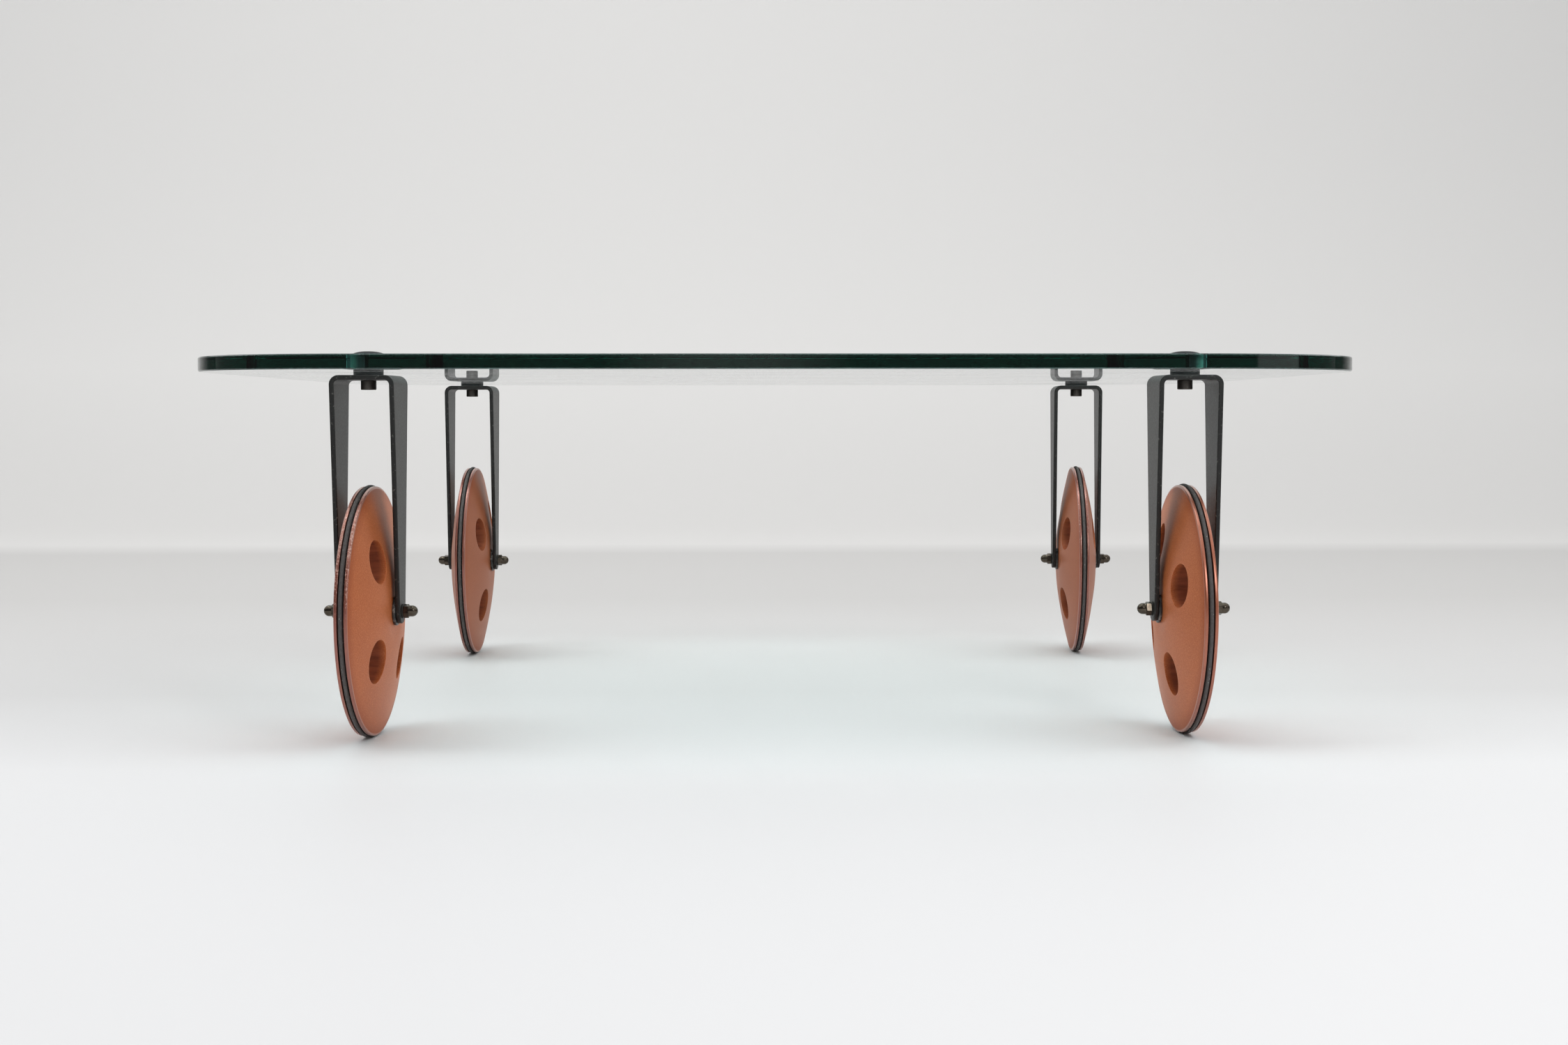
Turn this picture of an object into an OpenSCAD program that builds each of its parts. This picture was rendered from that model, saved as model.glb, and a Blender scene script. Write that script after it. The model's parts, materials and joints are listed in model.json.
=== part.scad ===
// Coffee table: a square glass top with rounded corners stands on four tall forks with large wheels.
// Each fork swivels on a screw under a domed cap that clamps the glass, and carries a wheel
// of two turned wooden dishes with a rubber tyre held between their rims.
// Millimetres, +Z up. The origin is on the floor under the middle of the glass, and the front is -Y.

/* [Glass top] */
// Width of the square top
top_w = 1200; // [1000:10:1600]
// Thickness of the glass
glass_t = 15; // [10:1:19]
// Radius of the rounded corners
corner_r = 187; // [80:1:260]
// Width of the small chamfer that is ground along every edge
arris = 1.2; // [0.5:0.1:3]
// Height of the underside of the glass above the floor
glass_z = 380; // [340:5:480]
// Distance from the edges of the glass to each swivel axis
inset = 174; // [120:1:260]

/* [Cap and collar] */
// Diameter of the domed cap on the glass
cap_d = 37; // [32:1:50]
// Height of the cap above its rubber flange
cap_h = 6.3; // [5:0.1:10]
// How square the dome's shoulder is: 2 is an ellipse, more is fuller
cap_fullness = 2.6; // [2:0.1:4]
// Diameter of the cap's threaded post, which goes down through the glass
post_d = 18; // [16:0.5:20]
// Thickness of metal that the cap keeps above the end of the screw inside it
cap_roof = 3; // [2:0.5:4]
// Wall of the rubber bush between the post and the glass
bush_wall = 2; // [1:0.5:4]
// Thickness of the rubber above and below the glass
rubber_t = 0.6; // [0.4:0.1:1.5]
// Diameter of the clamping collar under the glass
collar_d = 31; // [28:1:40]
// Thickness of the collar
collar_t = 2.4; // [2:0.1:5]

/* [Swivel] */
// Diameter of the swivel screw's shank
screw_d = 10; // [8:0.5:12]
// Diameter of the screw's head
screw_head_d = 16; // [15:1:20]
// Height of the screw's head
screw_head_h = 9.8; // [8:0.1:12]
// Width across the flats of the hexagon socket in the head
socket_af = 8; // [6:1:8]
// Depth of the hexagon socket
socket_depth = 5; // [3:0.5:6]
// Wall of the bronze bush in the fork's crown
swivel_bush_wall = 2; // [1:0.5:3]
// Free height between the crown and the collar, and between the crown and the screw's head
swivel_gap = 0.2; // [0.1:0.05:0.5]

/* [Fork] */
// Thickness of the bent steel strap
strap_t = 5; // [4:0.5:6]
// Width of the strap at the crown
crown_w = 68; // [50:1:80]
// Width of the strap at the axle
foot_w = 26; // [22:1:40]
// Outer radius of the two bends
bend_r = 10; // [7:0.5:14]

/* [Wheel] */
// Diameter over the tyre
wheel_d = 263; // [220:1:290]
// How far the tyre stands out of the wooden rim
tyre_proud = 1.5; // [0.5:0.1:4]
// Width of the tyre's foot and of the groove that holds it
groove_w = 6.8; // [5:0.1:10]
// Width of the tyre where it meets the floor
tread_w = 4.6; // [3:0.1:4.8]
// Depth of the groove
groove_depth = 8; // [5:0.5:12]
// Thickness of the wooden wheel at its rim
rim_t = 13.6; // [12:0.2:18]
// Radius of the rim's rounded edge
rim_round = 1.6; // [0.6:0.1:2.4]
// Thickness of the wooden wheel at its hub
hub_t = 50.8; // [40:0.2:60]
// Diameter of the flat face at the hub
hub_flat_d = 60; // [40:1:80]
// How the face curves between hub and rim: 1 is a straight cone, more is rounder
dish_curve = 1.4; // [1:0.05:2]
// Number of round holes through the wheel
hole_count = 4; // [3:1:5]
// Diameter of the holes
hole_d = 45; // [30:0.5:50]
// Distance from the axle to the middle of each hole
hole_pitch_r = 72; // [64:0.5:80]

/* [Axle] */
// Diameter of the axle
axle_d = 8; // [6:0.5:10]
// Outer diameter of the bronze sleeve in the hub
sleeve_d = 12; // [11:0.5:16]
// Diameter of the black washers between hub and fork
hub_washer_d = 30; // [20:1:40]
// Thickness of those washers
hub_washer_t = 3.1; // [1:0.1:5]
// Free width between each of those washers and the fork
side_gap = 0.15; // [0.1:0.05:0.5]
// Diameter of the thin washers under the nuts
nut_washer_d = 15; // [13:0.5:20]
// Thickness of the thin washers
nut_washer_t = 1.2; // [0.8:0.1:2]
// Width across the flats of the cap nuts
nut_af = 13; // [13:0.5:17]
// Height of the nuts' hexagon
nut_hex_h = 5.5; // [4:0.1:8]
// Diameter of the nuts' dome
nut_dome_d = 11.8; // [11.4:0.1:13]
// Height of the dome above the hexagon
nut_dome_h = 9.1; // [8.5:0.1:12]

/* [Stance] */
// Steer of the forks: front left, front right, rear left, rear right
steer = [-3.8, 2.3, -1.2, -2]; // [-10:0.1:10]
// Turn of the wheels: height of the foremost hole above the axle, as an angle, in the same order
wheel_turn = [48.5, 23.5, 33, 32.5]; // [0:0.5:89]

/* [Hidden] */
CORNERS = ["front_left", "front_right", "rear_left", "rear_right"];
CORNER_PARTS = [
    "cap", "glass_bush", "collar", "swivel_screw",
    "fork", "swivel_bush", "axle", "axle_nuts", "nut_washers",
    "wheel_inner_half", "wheel_outer_half", "tyre", "hub_sleeve", "hub_washers"
];

$fn = 96;
eps = 0.01;
side_x = [-1, 1, -1, 1];
side_y = [-1, -1, 1, 1];

// Fits: radial play of a shaft that turns, of a thread, and of a plain washer
run_play = 0.05;
thread_play = 0.05;
washer_play = 0.3;

swivel_xy = top_w / 2 - inset;
glass_hole_d = post_d + 2 * bush_wall;
crown_top_z = glass_z - rubber_t - collar_t - swivel_gap;
crown_bottom_z = crown_top_z - strap_t;
screw_head_z = crown_bottom_z - swivel_gap;
cap_z = glass_z + glass_t + rubber_t;
cap_flange_d = cap_d - 2;
screw_top_z = cap_z + cap_h - cap_roof;
swivel_bush_bore = screw_d + 2 * run_play;
swivel_bush_d = swivel_bush_bore + 2 * swivel_bush_wall;

axle_z = wheel_d / 2;
fork_inner_w = hub_t + 2 * (hub_washer_t + side_gap);
fork_outer_w = fork_inner_w + 2 * strap_t;
nut_seat = fork_outer_w / 2 + nut_washer_t;
axle_half = nut_seat + nut_hex_h + nut_dome_h - nut_dome_d / 2 + thread_play;
rim_r = wheel_d / 2 - tyre_proud;
groove_r = rim_r - groove_depth;
hub_flat_r = hub_flat_d / 2;

CAP_STEPS = 14;
DISH_STEPS = 12;
ROUND_STEPS = 4;

// Outline helpers

// Rounded edge of the rim, from the lip's outer surface to its face
function rim_edge() = [
    for (i = [0 : ROUND_STEPS])
        let (a = 90 * i / ROUND_STEPS)
        [rim_r - rim_round + rim_round * cos(a), rim_t / 2 - rim_round + rim_round * sin(a)]
];

// Dished face from the rim to the flat hub
function dish_face() = [
    for (i = [1 : DISH_STEPS])
        let (u = i / DISH_STEPS)
        [
            rim_r - rim_round + (hub_flat_r - rim_r + rim_round) * u,
            rim_t / 2 + (hub_t - rim_t) / 2 * (1 - pow(1 - u, dish_curve))
        ]
];

// Full-shouldered dome, from its foot up to its top
function cap_outline() = [
    for (i = [0 : CAP_STEPS])
        let (a = 90 * i / CAP_STEPS)
        [cap_d / 2 * pow(cos(a), 2 / cap_fullness), cap_z + cap_h * sin(a)]
];

// Placing

module at_corner(i) {
    translate([side_x[i] * swivel_xy, side_y[i] * swivel_xy, 0])
        children();
}

// Turned with the fork about its swivel
module steered(i) {
    at_corner(i)
        rotate([0, 0, steer[i]])
            children();
}

// Local +Z runs along the axle
module on_axle(i) {
    steered(i)
        translate([0, 0, axle_z])
            rotate([0, 90, 0])
                children();
}

// One piece at each end of the axle, facing outwards
module both_ends() {
    for (way = [0, 1])
        mirror([0, 0, way])
            children();
}

module ring(outer_d, inner_d, h) {
    difference() {
        cylinder(d = outer_d, h = h);
        translate([0, 0, -eps])
            cylinder(d = inner_d, h = h + 2 * eps);
    }
}

// Glass and what is clamped to it

// Upright section of the glass from inside to its edge, with the ground chamfers
module glass_section(reach) {
    polygon([
        [0, 0],
        [reach - arris, 0],
        [reach, arris],
        [reach, glass_t - arris],
        [reach - arris, glass_t],
        [0, glass_t]
    ]);
}

// Straight stretch of glass: its edge faces +X and it runs along Y
module glass_strip(reach, run) {
    translate([0, run / 2, 0])
        rotate([90, 0, 0])
            linear_extrude(height = run)
                glass_section(reach);
}

module glass_plate() {
    straight = top_w - 2 * corner_r;
    for (k = [0 : 3])
        rotate([0, 0, 90 * k]) {
            translate([straight / 2, straight / 2, 0])
                rotate_extrude(angle = 90)
                    glass_section(corner_r);
            translate([straight / 2, 0, 0])
                glass_strip(corner_r, straight);
        }
    translate([-straight / 2, -straight / 2, 0])
        cube([straight, straight, glass_t]);
}

module glass_top() {
    color([0.62, 0.78, 0.72, 0.5])
        translate([0, 0, glass_z])
            difference() {
                glass_plate();
                for (i = [0 : 3])
                    at_corner(i)
                        translate([0, 0, -eps])
                            cylinder(d = glass_hole_d, h = glass_t + 2 * eps);
            }
}

// Four thin rubber rings between the glass and the collars
module collar_rubbers() {
    color([0.1, 0.1, 0.1])
        for (i = [0 : 3])
            at_corner(i)
                translate([0, 0, glass_z - rubber_t])
                    ring(collar_d, post_d + 2 * thread_play, rubber_t);
}

// Domed cap with its post; the screw threads into the post from below
module cap(i) {
    color([0.2, 0.2, 0.21])
        at_corner(i)
            difference() {
                union() {
                    rotate_extrude()
                        polygon(concat([[0, cap_z]], cap_outline()));
                    translate([0, 0, crown_top_z + swivel_gap])
                        cylinder(d = post_d, h = cap_z - crown_top_z - swivel_gap + eps);
                }
                translate([0, 0, crown_top_z])
                    cylinder(d = screw_d + 2 * thread_play, h = screw_top_z + 2 * thread_play - crown_top_z);
            }
}

// Rubber top-hat bush that lines the hole in the glass
module glass_bush(i) {
    color([0.08, 0.08, 0.08])
        at_corner(i)
            difference() {
                union() {
                    translate([0, 0, glass_z])
                        cylinder(d = glass_hole_d, h = glass_t);
                    translate([0, 0, glass_z + glass_t])
                        cylinder(d = cap_flange_d, h = rubber_t);
                }
                translate([0, 0, glass_z - eps])
                    cylinder(d = post_d + 2 * thread_play, h = glass_t + rubber_t + 2 * eps);
            }
}

module collar(i) {
    color([0.15, 0.15, 0.16])
        at_corner(i)
            translate([0, 0, glass_z - rubber_t - collar_t])
                ring(collar_d, post_d + 2 * thread_play, collar_t);
}

// Socket-head screw that carries the fork
module swivel_screw(i) {
    chamfer = 0.7;
    color([0.14, 0.13, 0.13])
        at_corner(i)
            difference() {
                union() {
                    translate([0, 0, screw_head_z])
                        cylinder(d = screw_d, h = screw_top_z - screw_head_z);
                    translate([0, 0, screw_head_z - screw_head_h + chamfer])
                        cylinder(d = screw_head_d, h = screw_head_h - chamfer);
                    translate([0, 0, screw_head_z - screw_head_h])
                        cylinder(d1 = screw_head_d - 2 * chamfer, d2 = screw_head_d, h = chamfer);
                }
                translate([0, 0, screw_head_z - screw_head_h - eps])
                    cylinder(d = socket_af / cos(30), h = socket_depth + eps, $fn = 6);
            }
}

// Fork and axle

// Quarter of a bent strap: from +Y, where it is level, round to +X, where it hangs down
module strap_bend() {
    rotate([90, 0, 0])
        translate([0, 0, -crown_w / 2])
            rotate_extrude(angle = 90)
                translate([bend_r - strap_t, 0])
                    square([strap_t, crown_w]);
}

// The strap bent into an upside-down U, still at its full width
module bent_strap() {
    level = fork_outer_w - 2 * bend_r;
    leg_h = crown_top_z - bend_r - axle_z + foot_w / 2;
    translate([-level / 2, -crown_w / 2, crown_bottom_z])
        cube([level, crown_w, strap_t]);
    for (way = [0, 1])
        mirror([way, 0, 0]) {
            translate([fork_inner_w / 2, -crown_w / 2, axle_z - foot_w / 2])
                cube([strap_t, crown_w, leg_h]);
            translate([level / 2, 0, crown_top_z - bend_r])
                strap_bend();
        }
}

// Side view of the fork: it narrows from the crown to a round foot at the axle
module fork_side() {
    rotate([90, 0, 90])
        linear_extrude(height = fork_outer_w + 2, center = true) {
            polygon([
                [-foot_w / 2, axle_z],
                [foot_w / 2, axle_z],
                [crown_w / 2, crown_top_z],
                [crown_w / 2, crown_top_z + 1],
                [-crown_w / 2, crown_top_z + 1],
                [-crown_w / 2, crown_top_z]
            ]);
            translate([0, axle_z])
                circle(d = foot_w);
        }
}

module fork(i) {
    color([0.2, 0.21, 0.2])
        steered(i)
            difference() {
                intersection() {
                    bent_strap();
                    fork_side();
                }
                translate([0, 0, crown_bottom_z - 1])
                    cylinder(d = swivel_bush_d, h = strap_t + 2);
                translate([0, 0, axle_z])
                    rotate([0, 90, 0])
                        cylinder(d = axle_d + 2 * thread_play, h = fork_outer_w + 2, center = true);
            }
}

module swivel_bush(i) {
    color([0.66, 0.5, 0.3])
        steered(i)
            translate([0, 0, crown_bottom_z])
                ring(swivel_bush_d, swivel_bush_bore, strap_t);
}

module axle(i) {
    color([0.6, 0.6, 0.6])
        on_axle(i)
            cylinder(d = axle_d, h = 2 * axle_half, center = true);
}

// Two blind hexagon nuts with domes over the ends of the axle
module axle_nuts(i) {
    dome_r = nut_dome_d / 2;
    straight = nut_dome_h - dome_r;
    corner_chamfer = 0.6;
    color([0.32, 0.27, 0.22])
        on_axle(i)
            both_ends()
                translate([0, 0, nut_seat])
                    difference() {
                        union() {
                            intersection() {
                                cylinder(d = nut_af / cos(30), h = nut_hex_h, $fn = 6);
                                union() {
                                    cylinder(d = nut_af / cos(30) + 1, h = nut_hex_h - corner_chamfer);
                                    translate([0, 0, nut_hex_h - corner_chamfer])
                                        cylinder(d1 = nut_af / cos(30), d2 = nut_af - 0.4, h = corner_chamfer);
                                }
                            }
                            cylinder(d = nut_dome_d, h = nut_hex_h + straight);
                            translate([0, 0, nut_hex_h + straight])
                                sphere(r = dome_r);
                        }
                        translate([0, 0, -dome_r])
                            cylinder(
                                d = axle_d + 2 * thread_play,
                                h = axle_half - nut_seat + thread_play + dome_r
                            );
                    }
}

module nut_washers(i) {
    color([0.18, 0.17, 0.16])
        on_axle(i)
            both_ends()
                translate([0, 0, fork_outer_w / 2])
                    ring(nut_washer_d, axle_d + 2 * thread_play, nut_washer_t);
}

// Wheel

// One dish of the wheel, from the wheel's middle plane to the hub's face at +Z
module wheel_half() {
    difference() {
        rotate_extrude()
            polygon(concat(
                [
                    [sleeve_d / 2, 0],
                    [groove_r, 0],
                    [groove_r, groove_w / 2],
                    [rim_r, groove_w / 2]
                ],
                rim_edge(),
                dish_face(),
                [[sleeve_d / 2, hub_t / 2]]
            ));
        for (k = [0 : hole_count - 1])
            rotate([0, 0, 360 * k / hole_count])
                translate([hole_pitch_r, 0, -1])
                    cylinder(d = hole_d, h = hub_t / 2 + 2);
    }
}

// The inner half faces the middle of the table, the outer half faces away from it
module wheel_side(i, inner) {
    way = inner ? -side_x[i] : side_x[i];
    on_axle(i)
        rotate([0, 0, 270 - wheel_turn[i]])
            mirror([0, 0, way > 0 ? 0 : 1])
                wheel_half();
}

module wheel_inner_half(i) {
    color([0.62, 0.33, 0.22])
        wheel_side(i, true);
}

module wheel_outer_half(i) {
    color([0.58, 0.3, 0.2])
        wheel_side(i, false);
}

// Rubber tyre with a wide foot in the groove and a narrow tread
module tyre(i) {
    tread_edge = 0.6;
    foot_top = groove_r + groove_depth / 3;
    shoulder = groove_r + groove_depth / 2;
    color([0.2, 0.2, 0.2])
        on_axle(i)
            rotate_extrude()
                polygon([
                    [groove_r, -groove_w / 2],
                    [foot_top, -groove_w / 2],
                    [shoulder, -tread_w / 2],
                    [wheel_d / 2 - tread_edge, -tread_w / 2],
                    [wheel_d / 2, -tread_w / 2 + tread_edge],
                    [wheel_d / 2, tread_w / 2 - tread_edge],
                    [wheel_d / 2 - tread_edge, tread_w / 2],
                    [shoulder, tread_w / 2],
                    [foot_top, groove_w / 2],
                    [groove_r, groove_w / 2]
                ]);
}

module hub_sleeve(i) {
    color([0.7, 0.53, 0.32])
        on_axle(i)
            translate([0, 0, -hub_t / 2])
                ring(sleeve_d, axle_d + 2 * run_play, hub_t);
}

module hub_washers(i) {
    color([0.1, 0.1, 0.1])
        on_axle(i)
            both_ends()
                translate([0, 0, hub_t / 2])
                    ring(hub_washer_d, axle_d + 2 * washer_play, hub_washer_t);
}

glass_top();
collar_rubbers();
for (i = [0 : 3]) {
    cap(i);
    glass_bush(i);
    collar(i);
    swivel_screw(i);
    fork(i);
    swivel_bush(i);
    axle(i);
    axle_nuts(i);
    nut_washers(i);
    wheel_inner_half(i);
    wheel_outer_half(i);
    tyre(i);
    hub_sleeve(i);
    hub_washers(i);
}
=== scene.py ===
"""Looks of the coffee table: a thick glass top on four swivelling forks with large copper wheels.

Metres, +Z up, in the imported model's frame. A caster's pieces are built in the caster's own frame:
X runs along the axle, Y across the fork and Z up, with the origin on the floor under the swivel.
"""

import json
import math

import bmesh
import bpy
import numpy as np
from mathutils import Matrix, Vector


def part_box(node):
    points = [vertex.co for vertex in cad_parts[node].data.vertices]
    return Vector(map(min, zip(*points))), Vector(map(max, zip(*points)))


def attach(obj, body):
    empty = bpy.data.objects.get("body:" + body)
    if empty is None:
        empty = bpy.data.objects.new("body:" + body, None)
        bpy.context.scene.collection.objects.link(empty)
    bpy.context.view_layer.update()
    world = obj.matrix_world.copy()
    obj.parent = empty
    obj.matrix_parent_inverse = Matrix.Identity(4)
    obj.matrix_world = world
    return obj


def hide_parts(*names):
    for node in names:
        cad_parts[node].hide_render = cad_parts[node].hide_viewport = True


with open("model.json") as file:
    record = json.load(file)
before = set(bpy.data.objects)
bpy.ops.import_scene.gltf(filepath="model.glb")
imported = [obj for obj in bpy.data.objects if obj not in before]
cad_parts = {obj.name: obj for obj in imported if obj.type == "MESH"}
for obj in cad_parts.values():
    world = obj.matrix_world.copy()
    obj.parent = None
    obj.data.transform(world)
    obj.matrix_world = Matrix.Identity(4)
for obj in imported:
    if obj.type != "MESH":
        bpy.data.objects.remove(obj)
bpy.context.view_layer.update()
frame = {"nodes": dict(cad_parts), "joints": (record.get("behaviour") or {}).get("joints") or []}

MM = 0.001
CORNERS = ("front_left", "front_right", "rear_left", "rear_right")
# A corner's seed is its place in that row; seeds past the last front one get the rear wheels' painted shade,
# and each step moves its materials' noise by some metres
LAST_FRONT_SEED = 1
SEED_STEP = (0.31, 0.47, 0.23)

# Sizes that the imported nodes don't give directly
ARRIS = 1.2 * MM
CORNER_R = 187 * MM
CORNER_STEPS = 48
STRAP_T = 5 * MM
STRAP_BEND_R = 10 * MM
STRAP_EDGE = 0.9 * MM
FOOT_W = 26 * MM
CAP_FULLNESS = 2.6
SOCKET_AF = 8 * MM
SOCKET_DEPTH = 5 * MM
NUT_AF = 13 * MM
NUT_HEX_H = 5.5 * MM
NUT_DOME_R = 5.9 * MM
NUT_CHAMFER = 0.45 * MM
# Cone that cuts the chamfer: where it starts and how much it widens, in halves of the size across flats
NUT_CONE_START = 0.985
NUT_CONE_WIDER = 0.17
HUB_FLAT_R = 30 * MM
DISH_CURVE = 1.4
RIM_HALF = 6.8 * MM
RIM_ROUND = 1.3 * MM
LIP_ROUND = 0.5 * MM
GROOVE_HALF = 3.4 * MM
GROOVE_DEPTH = 8 * MM
TYRE_DEPTH = 9.5 * MM
TREAD_HALF = 2.3 * MM
TREAD_ROUND = 2.28 * MM
HOLE_COUNT = 4
HOLE_R = 22.5 * MM
HOLE_PITCH_R = 72 * MM
HOLE_EDGE = 0.35 * MM

# Bores, with their play
AXLE_BORE_R = 4.05 * MM
HUB_WASHER_BORE_R = 4.3 * MM
SCREW_BORE_R = 5.05 * MM
SLEEVE_BORE_R = 6.02 * MM
CROWN_BORE_R = 7.05 * MM
POST_BORE_R = 9.05 * MM
GLASS_BORE_R = 11.05 * MM

# Degrees by which the left and right nut of each axle are turned
NUT_TURNS = {"front_left": (28, 16), "front_right": (12, 40), "rear_left": (12, 33), "rear_right": (24, 6)}
# Wear of the wheels' lips as (degrees from the rear upwards, rubbed, chipped)
RIM_WEAR = {
    "front_left": ((90, 0.9, 0.5), (145, 1.0, 1.0), (168, 1.0, 0.85), (182, 1.0, 0.2), (240, 0.95, 0.1),
                   (330, 0.9, 0.2)),
    "front_right": ((90, 0.5, 0.15), (140, 0.1, 0.05), (185, 0.1, 0.03), (225, 0.75, 0.1), (330, 0.7, 0.2)),
    "rear_left": ((90, 1.0, 0.3), (180, 1.0, 0.25), (270, 1.0, 0.2)),
    "rear_right": ((90, 1.0, 0.4), (160, 1.0, 0.6), (200, 1.0, 0.3), (270, 1.0, 0.2)),
}
# Radii between which the lacquer darkens towards the rim, and between which its polished lip starts
RIM_BAND_R = (116 * MM, 127 * MM)
LIP_R = (127.2 * MM, 128.2 * MM)
# Distances from the table's middle plane over which a bush in the glass fades from painted shade into painted
# light
BUSH_PAINTED_LIGHT_X = (424 * MM, 441 * MM)

# Camera, as fitted to the photograph
PHOTO_W_PX = 2250
FOCAL_PX = 3323.7
MIDDLE_X_PX = 1187.0
SENSOR_W = 36.0
CAMERA_AT = (-0.0139, -2.8488, 0.3344)
CAMERA_YAW = 0.0266
CAMERA_PITCH = 0.046
CAMERA_ROLL = -0.0009

# Studio: its surround, where the floor's painted shade changes with depth, and where the backdrop dims to its
# sides
SURROUND = (0.73, 0.725, 0.715)
FLOOR_NEAR_Y = -0.65
FLOOR_MIDDLE_Y = -0.05
FLOOR_FAR_Y = 1.4
WALL_LINE_Y = 3.0
BACKDROP_HALF = 4.2
DIM_HALF = 8.5
# Room that polished pieces mirror: its level, what its far side adds, and the turns in degrees over
# which that comes in
ROOM_LEVEL = 0.13
FAR_SIDE_LEVEL = 0.24
FAR_SIDE_TURNS = (108, 128)
# Its bright ceiling: how much it comes down towards the far side, the heights over which it comes in,
# and its levels from there up
CEILING_LEAN = 0.55
CEILING_HEIGHTS = (0.3, 0.55)
CEILING_LEVELS = (0.8, 1.2)
# Panels of the room: middle, half width and soft edge in degrees from the camera's side towards +X, level
ROOM_PANELS = ((-1, 1.2, 2.2, 0.34), (61.5, 14.5, 2, 0.58))
# Lamps: name, place, target, size, power, and whether polished pieces mirror it
LAMPS = (
    ("softbox_left", (-2.4, -0.6, 2.6), (0, 0, 0.1), (1.8, 1.8), 14, False),
    ("softbox_right", (2.4, -0.6, 2.6), (0, 0, 0.1), (1.8, 1.8), 14, False),
    ("window", (1.25, -3.0, 1.73), (0.1, -0.3, 0.15), (0.45, 1.0), 17, True),
    ("wall_light", (-0.7, 0.6, 5.4), (-0.4, 6.6, 2.6), (4.0, 1.0), 165, False),
)


def add_object(name, data):
    made = bpy.data.objects.new(name, data)
    bpy.context.scene.collection.objects.link(made)
    return made


# Meshes

class Patchwork:
    """Grids of quads that are welded into one closed mesh, with values painted on their points.

    wear is 1 on edges that rub and on a tyre's crown, where it also sets painted light, chips is 1 where
    paint has chipped off, bare is 1 where the wood shows, and the painted shade mark is 1 in the tyre's
    groove and on the narrow sides of a strap."""

    MARKS = ("wear", "chips", "bare", "soot")

    def __init__(self):
        self.points = []
        self.faces = []
        self.marks = {label: [] for label in self.MARKS}

    def grid(self, rows, wrap=False, **marks):
        """rows x columns points; each mark is one number, one for each row, or one for each point."""
        rows = np.asarray(rows, float)
        count, across = rows.shape[:2]
        base = len(self.points)
        self.points += rows.reshape(-1, 3).tolist()
        for label, store in self.marks.items():
            values = np.asarray(marks.get(label, 0.0), float)
            values = values if values.ndim == 2 else values.reshape(-1, 1)
            store += np.broadcast_to(values, (count, across)).reshape(-1).tolist()
        for i in range(count - 1):
            for j in range(across if wrap else across - 1):
                k = (j + 1) % across
                self.faces.append([base + i * across + j, base + i * across + k,
                                   base + (i + 1) * across + k, base + (i + 1) * across + j])

    def mesh(self, name, sharp_deg=35.0):
        made = bpy.data.meshes.new(name)
        made.from_pydata(self.points, [], self.faces)
        for label, values in self.marks.items():
            made.attributes.new(label, "FLOAT", "POINT").data.foreach_set("value", values)
        return finish_mesh(made, sharp_deg)


def smooth(mesh, sharp_deg):
    """Smooth shading, apart from the edges that are sharper than an angle."""
    mesh.shade_smooth()
    mesh.set_sharp_from_angle(angle=math.radians(sharp_deg))
    return mesh


def finish_mesh(mesh, sharp_deg):
    """Welds the seams, drops empty faces, turns all faces outwards and shades smoothly."""
    bm = bmesh.new()
    bm.from_mesh(mesh)
    weld_gap, empty_edge = 2e-6, 1e-7
    bmesh.ops.remove_doubles(bm, verts=bm.verts, dist=weld_gap)
    bmesh.ops.dissolve_degenerate(bm, edges=bm.edges, dist=empty_edge)
    bmesh.ops.recalc_face_normals(bm, faces=bm.faces)
    bm.to_mesh(mesh)
    bm.free()
    return smooth(mesh, sharp_deg)


def around(steps, start=0.0):
    return start + np.arange(steps) * 2 * math.pi / steps


def quarter(steps):
    """Angles from 0 to a right angle."""
    return [math.pi / 2 * k / steps for k in range(steps + 1)]


def ring_at(radius, height, angle, axis="x"):
    """Points around an axis; the radius is one number, or one for each angle."""
    one, two = radius * np.cos(angle), radius * np.sin(angle)
    along = np.full(len(angle), height)
    return np.stack([along, one, two] if axis == "x" else [one, two, along], axis=1)


def turned(profile, steps, axis="x", start=0.0):
    """Rows of points: a profile of (radius, height) turned about an axis."""
    return [ring_at(radius, height, around(steps, start), axis) for radius, height in profile]


def hexagon(across_flats, angle):
    """Radius of a hexagon at each angle, measured from the middle of a corner."""
    return across_flats / 2 / np.cos(angle % (math.pi / 3) - math.pi / 6)


def closed_mesh(name, rows, sharp_deg=35.0, wear=0.0):
    patches = Patchwork()
    patches.grid(rows, wear=wear, wrap=True)
    return patches.mesh(name, sharp_deg)


def rounded(points, radii, steps=3, closed=True):
    """The outline with its corners rounded by a radius each; 0 leaves a corner as it is."""
    points = [Vector(p) for p in points]
    made = []
    for i, (here, radius) in enumerate(zip(points, radii)):
        if not radius or (not closed and i in (0, len(points) - 1)):
            made.append(tuple(here))
            continue
        back = (points[i - 1] - here).normalized()
        on = (points[(i + 1) % len(points)] - here).normalized()
        half = back.angle(on) / 2
        middle = here + (back + on).normalized() * radius / math.sin(half)
        first = here + back * radius / math.tan(half) - middle
        last = here + on * radius / math.tan(half) - middle
        sweep = first.angle_signed(last)
        for k in range(steps + 1):
            turn = -sweep * k / steps
            c, s = math.cos(turn), math.sin(turn)
            made.append((middle.x + first.x * c - first.y * s, middle.y + first.x * s + first.y * c))
    return made


def turned_piece(name, outline, steps=96, axis="x", wear=0.0):
    """A ring-like piece from a closed outline of (radius, height)."""
    return closed_mesh(name, turned(outline + outline[:1], steps, axis), wear=wear)


def join(name, *meshes):
    """One mesh from several, for a node that is a pair of equal pieces."""
    bm = bmesh.new()
    for mesh in meshes:
        bm.from_mesh(mesh)
        bpy.data.meshes.remove(mesh)
    made = bpy.data.meshes.new(name)
    bm.to_mesh(made)
    bm.free()
    return made


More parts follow.
